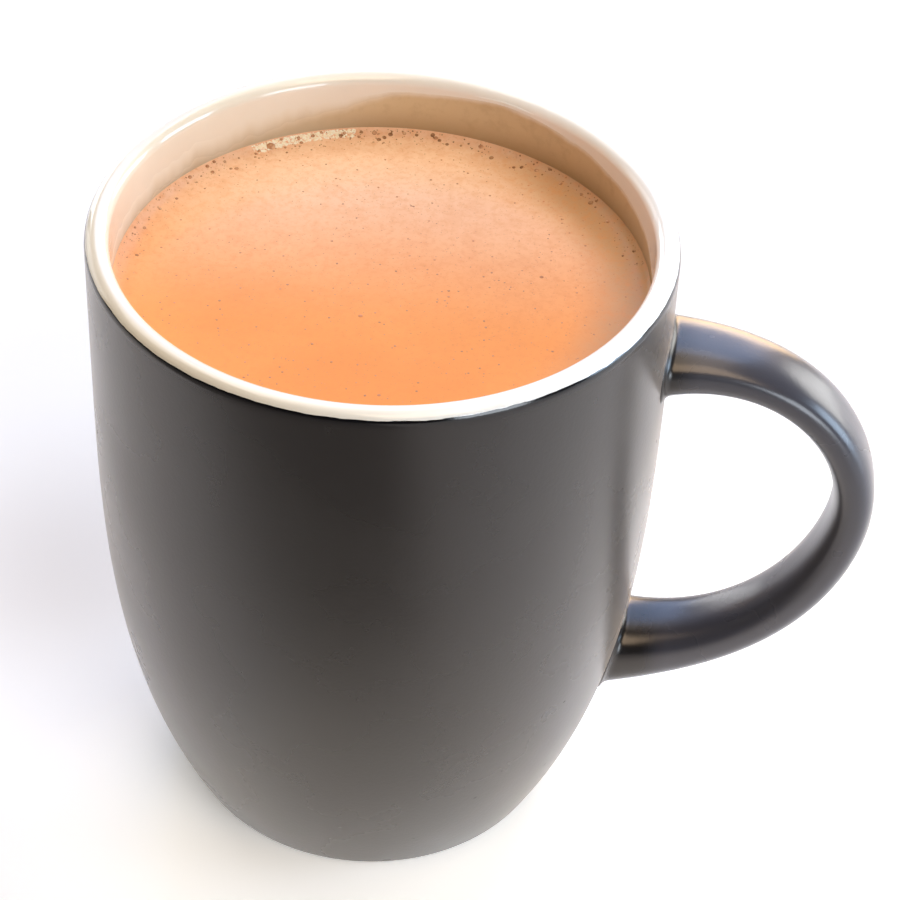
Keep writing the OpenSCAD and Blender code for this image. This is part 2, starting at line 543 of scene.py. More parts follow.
class Tree:
    """A Geometry Nodes tree with named inputs, built once and run with several sets of values."""

    def __init__(self, name, inputs):
        self.tree = bpy.data.node_groups.new(name, "GeometryNodeTree")
        sockets = self.tree.interface
        sockets.new_socket("Geometry", in_out="INPUT", socket_type="NodeSocketGeometry")
        self.ids = {}
        for label, (kind, value) in inputs.items():
            socket = sockets.new_socket(label, in_out="INPUT", socket_type=kind)
            if value is not None:
                socket.default_value = value
            self.ids[label] = socket.identifier
        sockets.new_socket("Geometry", in_out="OUTPUT", socket_type="NodeSocketGeometry")
        self.given = self.tree.nodes.new("NodeGroupInput").outputs
        self.out = self.tree.nodes.new("NodeGroupOutput").inputs[0]

    def add(self, kind, inputs=(), **values):
        """Adds a node; inputs are pairs of a socket and a value or an output to join to it."""
        node = self.tree.nodes.new(kind)
        for name, value in values.items():
            setattr(node, name, value)
        for socket, value in inputs:
            if isinstance(value, bpy.types.NodeSocket):
                self.tree.links.new(value, node.inputs[socket])
            else:
                node.inputs[socket].default_value = value
        return node.outputs

    def math(self, operation, a, b=0.0):
        return self.add("ShaderNodeMath", ((0, a), (1, b)), operation=operation)[0]

    def random(self, low, high, seed):
        """A random number for each point; sockets 2, 3 and 8 are the number's range and its seed."""
        ends = ((2, low), (3, high), (8, seed))
        return self.add("FunctionNodeRandomValue", ends, data_type="FLOAT")[1]

    def run(self, name, **values):
        """Runs the tree with these values and returns the result as a plain mesh piece."""
        holder = bpy.data.objects.new(name, bpy.data.meshes.new(name))
        bpy.context.scene.collection.objects.link(holder)
        modifier = holder.modifiers.new("make", "NODES")
        modifier.node_group = self.tree
        for label, value in values.items():
            modifier[self.ids[label.replace("_", " ")]] = value
        ready = holder.evaluated_get(bpy.context.evaluated_depsgraph_get())
        mesh = bpy.data.meshes.new_from_object(ready)
        holder.modifiers.remove(modifier)
        holder.data = mesh
        mesh.name = name
        for face in mesh.polygons:
            face.use_smooth = True
        return holder


def scatter_tree():
    """Scatters small balls over a ring of the drink's surface, on its climb at the wall too."""
    tree = Tree("scatter_on_chai", {
        "Count": ("NodeSocketInt", 100),
        "Outer Radius": ("NodeSocketFloat", 0.037),
        "Spread": ("NodeSocketFloat", 0.001),
        "Crowding": ("NodeSocketFloat", 1.0),
        "From Angle": ("NodeSocketFloat", 0.0),
        "To Angle": ("NodeSocketFloat", 2 * math.pi),
        "Smallest": ("NodeSocketFloat", 0.0001),
        "Largest": ("NodeSocketFloat", 0.0003),
        "Rarity": ("NodeSocketFloat", 3.0),
        "Height": ("NodeSocketFloat", 1.0),
        "Sink": ("NodeSocketFloat", 0.2),
        "Seed": ("NodeSocketInt", 1),
        "Material": ("NodeSocketMaterial", None),
    })
    given = tree.given
    seed = given["Seed"]
    angle = tree.random(given["From Angle"], given["To Angle"], seed)
    inward = tree.math("POWER", tree.random(0.0, 1.0, tree.math("ADD", seed, 1)), given["Crowding"])
    outer_area = tree.math("POWER", given["Outer Radius"], 2.0)
    inner_radius = tree.math("SUBTRACT", given["Outer Radius"], given["Spread"])
    ring_area = tree.math("SUBTRACT", outer_area, tree.math("POWER", inner_radius, 2.0))
    area = tree.math("SUBTRACT", outer_area, tree.math("MULTIPLY", inward, ring_area))
    radius = tree.math("SQRT", area)
    gap = tree.math("SUBTRACT", INNER_R, radius)
    climb = tree.math("POWER", math.e, tree.math("DIVIDE", gap, -MENISCUS_W))
    level = tree.math("ADD", LEVEL, tree.math("MULTIPLY", climb, MENISCUS_H))
    pick = tree.math("POWER", tree.random(0.0, 1.0, tree.math("ADD", seed, 2)), given["Rarity"])
    size_range = tree.math("SUBTRACT", given["Largest"], given["Smallest"])
    size = tree.math("ADD", given["Smallest"], tree.math("MULTIPLY", pick, size_range))
    sunk = tree.math("MULTIPLY", tree.math("MULTIPLY", size, given["Sink"]), given["Height"])
    place = tree.add("ShaderNodeCombineXYZ", (
        (0, tree.math("MULTIPLY", radius, tree.math("COSINE", angle))),
        (1, tree.math("MULTIPLY", radius, tree.math("SINE", angle))),
        (2, tree.math("SUBTRACT", level, sunk)),
    ))[0]
    points = tree.add("GeometryNodePoints", (("Count", given["Count"]), ("Position", place)))[0]
    unit_ball = tree.add("GeometryNodeMeshIcoSphere", (("Radius", 1.0), ("Subdivisions", 2)))[0]
    wide = tree.math("MULTIPLY", size, tree.random(0.8, 1.25, tree.math("ADD", seed, 3)))
    tall = tree.math("MULTIPLY", size, given["Height"])
    scale = tree.add("ShaderNodeCombineXYZ", ((0, size), (1, wide), (2, tall)))[0]
    stored = tree.add(
        "GeometryNodeStoreNamedAttribute", (("Geometry", points), ("Name", "size"), ("Value", scale)),
        data_type="FLOAT_VECTOR", domain="POINT")[0]
    spin = tree.random(0.0, LARGEST_SPIN, tree.math("ADD", seed, 4))
    turn = tree.add("ShaderNodeCombineXYZ", ((2, spin),))[0]
    named = tree.add(
        "GeometryNodeInputNamedAttribute", (("Name", "size"),), data_type="FLOAT_VECTOR")[0]
    balls = tree.add("GeometryNodeInstanceOnPoints", (
        ("Points", stored), ("Instance", unit_ball), ("Rotation", turn), ("Scale", named)))[0]
    real = tree.add("GeometryNodeRealizeInstances", (("Geometry", balls),))[0]
    done = tree.add("GeometryNodeSetMaterial", (("Geometry", real), ("Material", given["Material"])))[0]
    tree.tree.links.new(done, tree.out)
    return tree


def ball(bm, x, y, wide, tall, sink):
    """A flattened ball that floats in the drink's surface at a place."""
    z = chai_z(math.hypot(x, y)) - sink * tall
    place = Matrix.Translation((x, y, z)) @ Matrix.Diagonal((wide, wide, tall, 1))
    bmesh.ops.create_icosphere(bm, subdivisions=3, radius=1.0, matrix=place)


def make_large_bubbles():
    """The few bubbles along the wall that are large enough to be seen one by one."""
    bm = bmesh.new()
    for degrees, gap, size in LARGE_BUBBLES:
        t = math.radians(degrees)
        r = INNER_R - gap * MM
        tall = BUBBLE_TALL * size * MM
        ball(bm, r * math.cos(t), r * math.sin(t), size * MM, tall, BUBBLE_SINK)
    return new_piece("large_bubbles", bm)


def make_large_flecks():
    """The few flecks of spice that are large enough to be seen one by one."""
    bm = bmesh.new()
    for x, y, size in LARGE_FLECKS:
        ball(bm, x * MM, y * MM, size * MM, FLECK_TALL * size * MM, FLECK_SINK)
    return new_piece("large_flecks", bm)


# ---------------------------------------------------------------- material helpers
class Nodes:
    """Short way to add and join nodes in one tree."""

    def __init__(self, tree):
        self.tree = tree

    def add(self, kind, **values):
        node = self.tree.nodes.new(kind)
        for name, value in values.items():
            setattr(node, name, value)
        return node

    def join(self, source, target):
        self.tree.links.new(source, target)

    def put(self, socket, value):
        """Joins an output to a socket, or sets the socket's own value."""
        if isinstance(value, bpy.types.NodeSocket):
            self.join(value, socket)
        else:
            socket.default_value = value

    def math(self, operation, a, b=0.0):
        node = self.add("ShaderNodeMath", operation=operation)
        self.put(node.inputs[0], a)
        self.put(node.inputs[1], b)
        return node.outputs[0]

    def noise(self, vector, scale, detail=2.0, roughness=0.5):
        node = self.add("ShaderNodeTexNoise")
        self.put(node.inputs["Vector"], vector)
        self.put(node.inputs["Scale"], scale)
        self.put(node.inputs["Detail"], detail)
        self.put(node.inputs["Roughness"], roughness)
        return node.outputs["Fac"]

    def ramp(self, value, low, high, out_low=0.0, out_high=1.0):
        """Runs smoothly from out_low to out_high as the value runs from low to high."""
        node = self.add("ShaderNodeMapRange")
        node.interpolation_type = "SMOOTHSTEP"
        self.put(node.inputs["Value"], value)
        self.put(node.inputs["From Min"], low)
        self.put(node.inputs["From Max"], high)
        self.put(node.inputs["To Min"], out_low)
        self.put(node.inputs["To Max"], out_high)
        return node.outputs["Result"]

    def mix(self, share, a, b):
        """Colour a with this share of colour b; sockets 6 and 7 are the node's two colours."""
        node = self.add("ShaderNodeMix", data_type="RGBA")
        self.put(node.inputs["Factor"], share)
        self.put(node.inputs[6], a)
        self.put(node.inputs[7], b)
        return node.outputs[2]

    def bump(self, height, strength, distance):
        node = self.add("ShaderNodeBump")
        self.put(node.inputs["Height"], height)
        node.inputs["Strength"].default_value = strength
        node.inputs["Distance"].default_value = distance
        return node.outputs["Normal"]


def grey(v):
    """A neutral colour of this lightness."""
    return (v, v, v, 1.0)


def new_material(name, **settings):
    """A material with one Principled shader; settings are its own sockets."""
    material = bpy.data.materials.new(name)
    material.use_nodes = True
    nodes = Nodes(material.node_tree)
    shader = material.node_tree.nodes["Principled BSDF"]
    for socket, value in settings.items():
        shader.inputs[socket.replace("_", " ")].default_value = value
    place = nodes.add("ShaderNodeTexCoord").outputs["Object"]
    return material, nodes, shader, place


# Pinholes of a glaze: cells to the metre, radius and soft edge as shares of a cell, size of the
# patches that have any, and how rare those are
PIT_CELLS = 110.0
PIT_RADIUS = 0.02
PIT_EDGE = 0.05
PIT_PATCHES = 45.0
PIT_RARITY = 0.62


def glaze_skin_group():
    """What every fired glaze here has: orange-peel relief, cloudy colour and pinholes."""
    tree = bpy.data.node_groups.new("glaze_skin", "ShaderNodeTree")
    sockets = tree.interface
    sockets.new_socket("Place", in_out="INPUT", socket_type="NodeSocketVector")
    for name, value in (("Peel Scale", 900.0), ("Cloud Scale", 60.0), ("Pinholes", 0.5)):
        socket = sockets.new_socket(name, in_out="INPUT", socket_type="NodeSocketFloat")
        socket.default_value = value
    for name in ("Peel", "Cloud", "Pits"):
        sockets.new_socket(name, in_out="OUTPUT", socket_type="NodeSocketFloat")
    nodes = Nodes(tree)
    given = nodes.add("NodeGroupInput")
    out = nodes.add("NodeGroupOutput")
    place = given.outputs["Place"]
    peel = nodes.noise(place, given.outputs["Peel Scale"], 3.0, 0.6)
    cloud = nodes.noise(place, given.outputs["Cloud Scale"], 4.0, 0.55)
    cells = nodes.add("ShaderNodeTexVoronoi")
    nodes.put(cells.inputs["Vector"], place)
    cells.inputs["Scale"].default_value = PIT_CELLS
    hole = nodes.ramp(cells.outputs["Distance"], PIT_RADIUS, PIT_EDGE, 1.0, 0.0)
    rare = nodes.math("GREATER_THAN", nodes.noise(place, PIT_PATCHES, 0.0), PIT_RARITY)
    pits = nodes.math("MULTIPLY", nodes.math("MULTIPLY", hole, rare), given.outputs["Pinholes"])
    nodes.join(peel, out.inputs["Peel"])
    nodes.join(cloud, out.inputs["Cloud"])
    nodes.join(pits, out.inputs["Pits"])
    return tree


GLAZE_SKIN = glaze_skin_group()


def glaze_skin(nodes, place, peel_scale, cloud_scale, pinholes):
    """Relief, clouds and pinholes of a glaze at a place."""
    node = nodes.add("ShaderNodeGroup")
    node.node_tree = GLAZE_SKIN
    nodes.join(place, node.inputs["Place"])
    node.inputs["Peel Scale"].default_value = peel_scale
    node.inputs["Cloud Scale"].default_value = cloud_scale
    node.inputs["Pinholes"].default_value = pinholes
    return node.outputs["Peel"], node.outputs["Cloud"], node.outputs["Pits"]


# ---------------------------------------------------------------- materials
# Black glaze: its clouds, its glossier lip with a painted navy reflection, its lighter slate tone on
# the handle that is painted light, and its tint
BLACK_DEEP = (0.0045, 0.0034, 0.0031, 1)
BLACK_BROWN = (0.0075, 0.0058, 0.0052, 1)
BLACK_PAINTED_LIP_REFLECTION = (0.0020, 0.0020, 0.0032, 1)
BLACK_PAINTED_LIGHT_HANDLE = (0.046, 0.045, 0.056, 1)
BLACK_PIT = (0.003, 0.003, 0.003, 1)
BLACK_TINT = (1.0, 0.92, 0.86, 1)
# Cream glaze, warm away from the handle; whiter on the handle's side, which is painted light
CREAM_DEEP = (0.755, 0.670, 0.530, 1)
CREAM_PALE = (0.800, 0.725, 0.590, 1)
CREAM_LIT_DEEP = (0.910, 0.890, 0.850, 1)
CREAM_LIT_PALE = (0.940, 0.930, 0.900, 1)
CREAM_PIT = (0.35, 0.27, 0.18, 1)
# Bare clay inside the foot ring
CLAY_DARK = (0.42, 0.36, 0.29, 1)
CLAY_LIGHT = (0.58, 0.51, 0.43, 1)
# Milky tea
CHAI_DEEP = (0.77, 0.282, 0.062, 1)
CHAI_PALE = (0.83, 0.318, 0.075, 1)
CHAI_PAINTED_LIGHT = (0.94, 0.63, 0.41, 1)
CHAI_PAINTED_REFLECTION = (0.80, 0.48, 0.31, 1)
CHAI_PAINTED_SHADOW = (0.47, 0.27, 0.13, 1)
CHAI_MOTTLE = (0.68, 0.24, 0.06, 1)
CHAI_DUST = (0.48, 0.18, 0.065, 1)
# Dried film, low down and at its edge
FILM_LOW = (0.44, 0.30, 0.155, 1)
FILM_HIGH = (0.64, 0.49, 0.29, 1)
# Walls of the bubbles, thin and thick; the brown ones partly the tea's own colour and partly painted
# shade
BUBBLE_SHADED_THIN = (0.44, 0.23, 0.11, 1)
BUBBLE_SHADED_THICK = (0.26, 0.12, 0.05, 1)
TAN_THIN = (0.66, 0.36, 0.19, 1)
TAN_THICK = (0.42, 0.19, 0.09, 1)
CLEAR_THIN = (0.70, 0.42, 0.24, 1)
CLEAR_THICK = (0.46, 0.22, 0.11, 1)
FOAM_AND_GLINT_THIN = (0.98, 0.92, 0.76, 1)
FOAM_AND_GLINT_THICK = (0.95, 0.80, 0.58, 1)
# Ground spice
SPICE_DARK = (0.40, 0.16, 0.06, 1)
SPICE_RUST = (0.58, 0.22, 0.08, 1)


def from_axis(nodes, place):
    """Distance of a place from the mug's axis, and its places along X and along Y."""
    parts = nodes.add("ShaderNodeSeparateXYZ")
    nodes.join(place, parts.inputs[0])
    x, y, _ = parts.outputs
    square = nodes.math("ADD", nodes.math("MULTIPLY", x, x), nodes.math("MULTIPLY", y, y))
    return nodes.math("SQRT", square), x, y


def cream_tone_and_painted_light(nodes, place, share):
    """Colour of the cream glaze at a place, whiter towards the handle's side as painted light; share
    runs from its deep to its pale tone.
    """
    _, across, _ = from_axis(nodes, place)
    # Whiter on the handle's side: painted light
    side = nodes.ramp(across, -30 * MM, 30 * MM)
    deep = nodes.mix(side, CREAM_DEEP, CREAM_LIT_DEEP)
    pale = nodes.mix(side, CREAM_PALE, CREAM_LIT_PALE)
    return nodes.mix(share, deep, pale)


def height_of(nodes, place):
    """Height of a place above the ground."""
    parts = nodes.add("ShaderNodeSeparateXYZ")
    nodes.join(place, parts.inputs[0])
    return parts.outputs[2]


def black_glaze():
    """Satin black glaze: a little brown, cloudy, with painted slate-blue light on the handle, glossier
    at the lip with a painted navy reflection.
    """
    material, nodes, shader, place = new_material(
        "black_satin_glaze", IOR=1.65, Sheen_Weight=0.4, Sheen_Roughness=0.4,
        Specular_Tint=BLACK_TINT, Sheen_Tint=BLACK_TINT)
    peel, cloud, pits = glaze_skin(nodes, place, 1500.0, 55.0, 0.7)
    tone = nodes.mix(nodes.ramp(cloud, 0.35, 0.65), BLACK_DEEP, BLACK_BROWN)
    _, across, _ = from_axis(nodes, place)
    # Lighter slate-blue tone on the handle: painted light
    tone = nodes.mix(nodes.ramp(across, RIM_R, RIM_R + 5 * MM), tone, BLACK_PAINTED_LIGHT_HANDLE)
    tone = nodes.mix(pits, tone, BLACK_PIT)
    # Glossier at the lip; its navy tone there is a painted dark reflection
    lip = nodes.ramp(height_of(nodes, place), MUG_H - 2.4 * MM, MUG_H - 1.5 * MM)
    tone = nodes.mix(lip, tone, BLACK_PAINTED_LIP_REFLECTION)
    nodes.join(tone, shader.inputs["Base Color"])
    smear = nodes.noise(place, 26.0, 2.0)
    rough = nodes.ramp(cloud, 0.3, 0.7, 0.25, 0.30)
    rough = nodes.math("ADD", rough, nodes.ramp(smear, 0.5, 0.7, 0.0, 0.03))
    rough = nodes.math("SUBTRACT", rough, nodes.math("MULTIPLY", lip, 0.14))
    rough = nodes.math("ADD", rough, nodes.math("MULTIPLY", pits, 0.3))
    nodes.join(rough, shader.inputs["Roughness"])
    height = nodes.math("SUBTRACT", peel, nodes.math("MULTIPLY", pits, 0.8))
    nodes.join(nodes.bump(height, 0.22, 0.06 * MM), shader.inputs["Normal"])
    return material


def cream_glaze():
    """Glossy cream glaze of the inside and the rim."""
    material, nodes, shader, place = new_material(
        "cream_gloss_glaze", IOR=1.52, Coat_Weight=0.4, Coat_Roughness=0.04)
    peel, cloud, pits = glaze_skin(nodes, place, 500.0, 40.0, 0.3)
    tone = cream_tone_and_painted_light(nodes, place, nodes.ramp(cloud, 0.3, 0.7))
    tone = nodes.mix(pits, tone, CREAM_PIT)
    nodes.join(tone, shader.inputs["Base Color"])
    nodes.join(nodes.ramp(cloud, 0.3, 0.7, 0.09, 0.15), shader.inputs["Roughness"])
    nodes.join(nodes.bump(peel, 0.12, 0.06 * MM), shader.inputs["Normal"])
    return material


def bare_clay():
    """Unglazed clay on the inner edge of the foot ring."""
    material, nodes, shader, place = new_material("bare_clay", IOR=1.45)
    grain = nodes.noise(place, 1400.0, 4.0, 0.7)
    tone = nodes.mix(nodes.ramp(grain, 0.3, 0.7), CLAY_DARK, CLAY_LIGHT)
    nodes.join(tone, shader.inputs["Base Color"])
    nodes.join(nodes.ramp(grain, 0.3, 0.7, 0.8, 0.95), shader.inputs["Roughness"])
    nodes.join(nodes.bump(grain, 0.4, 0.1 * MM), shader.inputs["Normal"])
    return material


def milky_chai():
    """Milky tea: opaque orange with fine mottles and tea dust; towards its edge a painted light, a
    painted reflection and a painted shadow.
    """
    material, nodes, shader, place = new_material(
        "milky_chai", IOR=1.34, Specular_IOR_Level=0.25)
    reach, across, along = from_axis(nodes, place)
    broad = nodes.noise(place, 28.0, 3.0, 0.5)
    mottle = nodes.noise(place, 900.0, 3.0, 0.65)
    dust = nodes.noise(place, 2600.0, 2.0, 0.5)
    tone = nodes.mix(nodes.ramp(broad, 0.35, 0.65), CHAI_DEEP, CHAI_PALE)
    # Paler towards the back, and a little towards the side away from the handle: painted light
    back = nodes.math("ADD", along, nodes.math("MULTIPLY", broad, 12 * MM))
    back = nodes.math("SUBTRACT", back, nodes.math("MULTIPLY", across, 0.10))
    lit_back = nodes.ramp(back, -6 * MM, 41 * MM)
    tone = nodes.mix(nodes.math("MULTIPLY", lit_back, 0.95), tone, CHAI_PAINTED_LIGHT)
    # A thin pale band along the wall at the back: painted reflection of the wall
    wavy = nodes.math("ADD", reach, nodes.math("MULTIPLY", nodes.noise(place, 130.0, 2.0), 2.2 * MM))
    skin = nodes.ramp(wavy, 36.4 * MM, 38.0 * MM)
    skin = nodes.math("MULTIPLY", skin, nodes.ramp(along, -20 * MM, 18 * MM))
    tone = nodes.mix(nodes.math("MULTIPLY", skin, 0.55), tone, CHAI_PAINTED_REFLECTION)
    # Browner along the wall on the handle's side: painted shadow of the wall
    brown = nodes.ramp(wavy, 27.0 * MM, 36.0 * MM)
    brown = nodes.math("MULTIPLY", brown, nodes.ramp(across, 4 * MM, 26 * MM))
    brown = nodes.math("MULTIPLY", brown, nodes.ramp(along, -30 * MM, -8 * MM))
    tone = nodes.mix(nodes.math("MULTIPLY", brown, 0.92), tone, CHAI_PAINTED_SHADOW)
    # Blotches, mottles and tea dust, from coarse to fine
    blotch = nodes.noise(place, 330.0, 3.0, 0.6)
    tone = nodes.mix(nodes.ramp(blotch, 0.40, 0.70, 0.0, 0.14), tone, CHAI_MOTTLE)
    tone = nodes.mix(nodes.ramp(mottle, 0.42, 0.72, 0.0, 0.26), tone, CHAI_MOTTLE)
    tone = nodes.mix(nodes.ramp(dust, 0.60, 0.74, 0.0, 0.34), tone, CHAI_DUST)
    nodes.join(tone, shader.inputs["Base Color"])
    nodes.join(nodes.ramp(broad, 0.3, 0.7, 0.20, 0.26), shader.inputs["Roughness"])
    nodes.join(nodes.bump(mottle, 0.08, 0.05 * MM), shader.inputs["Normal"])
    return material


def dried_film():
    """Tan film of chai on the cream glaze: brown near the drink, thin and pale where it ends, and
    fuller on the handle's side, which is painted shade.
    """
    material, nodes, shader, place = new_material("dried_chai_film", IOR=1.48)
    # Height over the drink and distance below the film's edge, both in mm
    height = nodes.add("ShaderNodeAttribute", attribute_name="film_height").outputs["Fac"]
    depth = nodes.add("ShaderNodeAttribute", attribute_name="film_depth").outputs["Fac"]
    _, across, _ = from_axis(nodes, place)
    cloud = nodes.noise(place, 240.0, 4.0, 0.6)
    streak = nodes.noise(place, 520.0, 3.0, 0.6)
    tone = nodes.mix(nodes.ramp(height, 0.3, 5.5), FILM_LOW, FILM_HIGH)
    tone = nodes.mix(nodes.ramp(streak, 0.45, 0.75, 0.0, 0.35), tone, FILM_LOW)
    # The edge is soft away from the handle; the film's colour is weaker there and fuller on the
    # handle's side, painted shade
    side = nodes.ramp(across, -27 * MM, 4 * MM)
    soft = nodes.math("ADD", 1.5, nodes.math("MULTIPLY", nodes.math("SUBTRACT", 1.0, side), 3.4))
    edge = nodes.math("ADD", depth, nodes.math("MULTIPLY", nodes.math("SUBTRACT", cloud, 0.5), 1.2))
    cover = nodes.ramp(edge, 0.0, soft)
    # Fuller film colour on the handle's side: painted shade
    cover = nodes.math("MULTIPLY", cover, nodes.ramp(side, 0.0, 1.0, 0.72, 0.97))
    glaze = cream_tone_and_painted_light(nodes, place, 0.5)
    nodes.join(nodes.mix(cover, glaze, tone), shader.inputs["Base Color"])
    nodes.join(nodes.ramp(cover, 0.0, 1.0, 0.14, 0.38), shader.inputs["Roughness"])
    nodes.join(nodes.bump(cloud, 0.2, 0.08 * MM), shader.inputs["Normal"])
    return material


def bubble_wall(name, thin, thick, rough):
    """Wet wall of a bubble, blotched with its thin and its thick tone."""
    material, nodes, shader, place = new_material(name, IOR=1.34, Roughness=rough)
    blotch = nodes.noise(place, 1800.0, 2.0)
    nodes.join(nodes.mix(nodes.ramp(blotch, 0.35, 0.65), thin, thick), shader.inputs["Base Color"])
    nodes.join(nodes.bump(blotch, 0.1, 0.02 * MM), shader.inputs["Normal"])
    return material


def ground_spice():
    """Flecks of ground spice and tea leaf, wet, from rust to dark brown."""
    material, nodes, shader, place = new_material("ground_spice", IOR=1.4, Roughness=0.4)
    kind = nodes.noise(place, 700.0, 1.0)
    tone = nodes.mix(nodes.ramp(kind, 0.38, 0.62), SPICE_DARK, SPICE_RUST)
    nodes.join(tone, shader.inputs["Base Color"])
    nodes.join(nodes.bump(nodes.noise(place, 5200.0, 2.0), 0.3, 0.03 * MM), shader.inputs["Normal"])
    return material


# ---------------------------------------------------------------- pieces
def show(piece, slot, *materials):
    """Gives a piece its materials and its body; its slot is not used."""
    for made in materials:
        piece.data.materials.append(made)
    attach(piece, "root")


mug = make_mug()
show(mug, "black_stoneware", black_glaze(), cream_glaze(), bare_clay())
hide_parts("mug")

chai = make_chai()
show(chai, "chai", milky_chai())
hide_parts("chai")

show(make_film(), "chai", dried_film())

scatter = scatter_tree()
# Brown bubbles along the back and the handle's side, darker than the paler ones further round: partly
# the tea's own colour and partly painted shade
show(scatter.run(
    "dark_bubbles", Count=150, Outer_Radius=INNER_R - 0.3 * MM, Spread=2.6 * MM, Crowding=2.2,
    From_Angle=14 * DEGREE, To_Angle=112 * DEGREE, Smallest=0.09 * MM, Largest=0.40 * MM, Rarity=6.0,
    Height=0.8, Sink=0.35, Seed=11,
    Material=bubble_wall("brown_bubble_painted_shade", BUBBLE_SHADED_THIN, BUBBLE_SHADED_THICK, 0.16)), "chai")
# Paler bubbles further round, away from the handle
show(scatter.run(
    "pale_bubbles", Count=130, Outer_Radius=INNER_R - 0.3 * MM, Spread=2.8 * MM, Crowding=1.8,
    From_Angle=96 * DEGREE, To_Angle=186 * DEGREE, Smallest=0.09 * MM, Largest=0.32 * MM, Rarity=4.4,
    Height=0.8, Sink=0.3, Seed=23,
    Material=bubble_wall("tan_bubble", TAN_THIN, TAN_THICK, 0.10)), "chai")
# A few larger bubbles, seen one by one
show(make_large_bubbles(), "chai", bubble_wall("clear_bubble", CLEAR_THIN, CLEAR_THICK, 0.06))
# Tight pale foam in the corner between the drink and the wall, its near-white colour partly a painted
# glint
show(scatter.run(
    "milk_foam_and_glint", Count=620, Outer_Radius=INNER_R - 0.2 * MM, Spread=1.3 * MM, Crowding=1.2,
    From_Angle=104 * DEGREE, To_Angle=129 * DEGREE, Smallest=0.09 * MM, Largest=0.26 * MM, Rarity=1.6,
    Height=0.7, Sink=0.45, Seed=37,
    Material=bubble_wall("milk_foam_and_glint", FOAM_AND_GLINT_THIN, FOAM_AND_GLINT_THICK, 0.08)), "chai")
spice = ground_spice()
# Ground spice over the whole surface
show(scatter.run(
    "spice_flecks", Count=1500, Outer_Radius=INNER_R - 0.4 * MM, Spread=INNER_R - 0.6 * MM,
    Crowding=1.0, From_Angle=0.0, To_Angle=2 * math.pi, Smallest=0.07 * MM, Largest=0.24 * MM,
    Rarity=4.0, Height=0.4, Sink=0.6, Seed=51, Material=spice), "chai")
# A few larger flecks, seen one by one
show(make_large_flecks(), "chai", spice)


# ---------------------------------------------------------------- stage
# The floor: palest round the mug, a painted pool of light, and dark beyond the near edge of the view,
# painted shade in the place that the front of the mug mirrors; further round towards the handle it is
# less dark
FLOOR_HALF = 2.5
FLOOR_LIT_POOL = grey(0.94)
FLOOR_FAR = grey(0.76)
FLOOR_PAINTED_SHADE = (0.22, 0.21, 0.205, 1)
PALE_WITHIN, FAR_BEYOND = 50 * MM, 120 * MM
DARK_BEYOND, DARK_FROM = -132 * MM, -66 * MM
DARK_WITHIN, LESS_DARK_BEYOND = 25 * MM, 70 * MM
LESS_DARK = 0.3
# On the side away from the handle it is a little greyer round this place: the mug's painted shadow
SHADE_MIDDLE = (-52 * MM, 36 * MM, 0.0)
SHADE_EDGE = 55 * MM
PAINTED_SHADOW_TONE = (0.66, 0.63, 0.61, 1)
SHADE_SHARE = 0.95
# The floor glows a little, painted light: beside the mug on the handle's side, and before its foot.
# Each glow has its middle, the distances between which it fades, and its strength
SIDE_GLOW = ((55 * MM, 15 * MM, 0.0), 30 * MM, 130 * MM, 0.42)
FRONT_GLOW = ((-12 * MM, -36 * MM, 0.0), 15 * MM, 52 * MM, 0.17)
GLOW_COLOUR = (1.0, 0.95, 0.88, 1)


def distance_to(nodes, place, middle):
    """Distance of a place from a fixed point."""
    away = nodes.add("ShaderNodeVectorMath", operation="DISTANCE")
    nodes.join(place, away.inputs[0])
    away.inputs[1].default_value = middle
    return away.outputs["Value"]


def glow_at(nodes, place, middle, core, edge, strength):
    """Strength at a place of a round glow that fades from its core to its edge."""
    return nodes.ramp(distance_to(nodes, place, middle), core, edge, strength, 0.0)


def floor_with_painted_light():
    """Pale matt surface of the floor, with its painted pool of light, painted shade, painted shadow and
    painted glow.
    """
    material, nodes, shader, place = new_material("pale_floor", IOR=1.3, Roughness=0.6)
    reach, across, along = from_axis(nodes, place)
    # Palest round the mug: painted pool of light
    tone = nodes.mix(nodes.ramp(reach, PALE_WITHIN, FAR_BEYOND), FLOOR_LIT_POOL, FLOOR_FAR)
    # Dark before the mug, less so towards the handle: painted shade
    near = nodes.ramp(along, DARK_BEYOND, DARK_FROM, 1.0, 0.0)
    middle = nodes.ramp(across, DARK_WITHIN, LESS_DARK_BEYOND, 1.0, LESS_DARK)
    tone = nodes.mix(nodes.math("MULTIPLY", near, middle), tone, FLOOR_PAINTED_SHADE)
    # The mug's painted shadow on the floor
    away = distance_to(nodes, place, SHADE_MIDDLE)
    tone = nodes.mix(nodes.ramp(away, 0.0, SHADE_EDGE, SHADE_SHARE, 0.0), tone, PAINTED_SHADOW_TONE)
    nodes.join(tone, shader.inputs["Base Color"])
    # The floor's glow: painted light
    glow = nodes.math(
        "ADD", glow_at(nodes, place, *SIDE_GLOW), glow_at(nodes, place, *FRONT_GLOW))
    nodes.join(glow, shader.inputs["Emission Strength"])
    shader.inputs["Emission Color"].default_value = GLOW_COLOUR
    return material


def make_floor():
    """Pale floor under the mug, with painted light and shade."""
    bm = bmesh.new()
    corners = []
    for x, y in ((-1, -1), (1, -1), (1, 1), (-1, 1)):
        corners.append(bm.verts.new((x * FLOOR_HALF, y * FLOOR_HALF, 0)))
    bm.faces.new(corners)
    floor = new_piece("floor", bm, smooth=False)
    floor.data.materials.append(floor_with_painted_light())
    return floor


make_floor()


# All lamps stand this far from the middle of the mug and look at it
LAMP_REACH = 0.9
LAMP_AIM = Vector((0, 0, MUG_H / 2))


